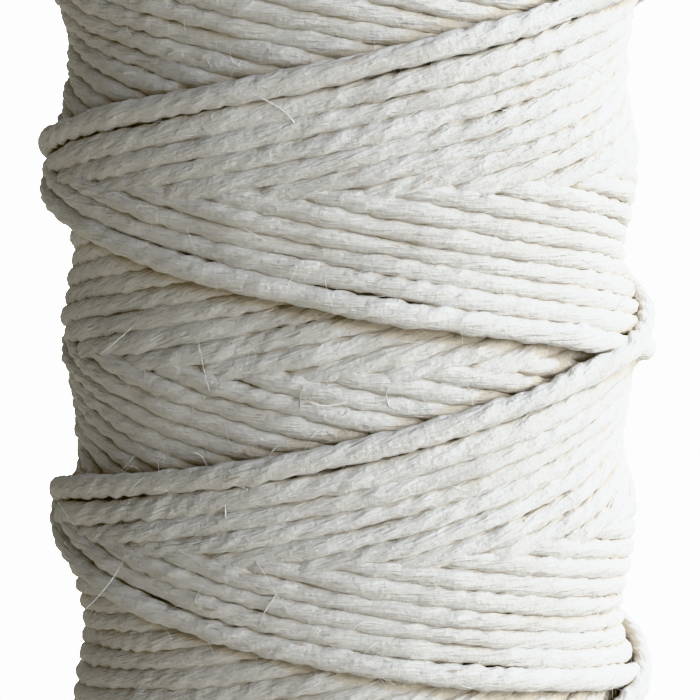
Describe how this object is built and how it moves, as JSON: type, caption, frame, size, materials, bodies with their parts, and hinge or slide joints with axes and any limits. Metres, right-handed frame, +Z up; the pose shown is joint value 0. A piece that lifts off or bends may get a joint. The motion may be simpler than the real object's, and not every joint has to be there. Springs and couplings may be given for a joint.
{
  "type": "roll of linen twine",
  "caption": "Upright cross-wound roll of soft off-white linen twine, with crossing bands of turns, that stands on its flat end and unwinds from the outside.",
  "frame": {"origin": "on the surface that the roll stands on, under the middle of the roll", "axes": "+Z up along the roll's axis, -Y towards the viewer of the picture, +X to the right"},
  "size_m": [0.0528, 0.0516, 0.0954],
  "materials": {
    "twine": "matt, slightly fuzzy off-white linen"
  },
  "bodies": {
    "root": {"twine_roll": "twine"}
  },
  "joints": []
}
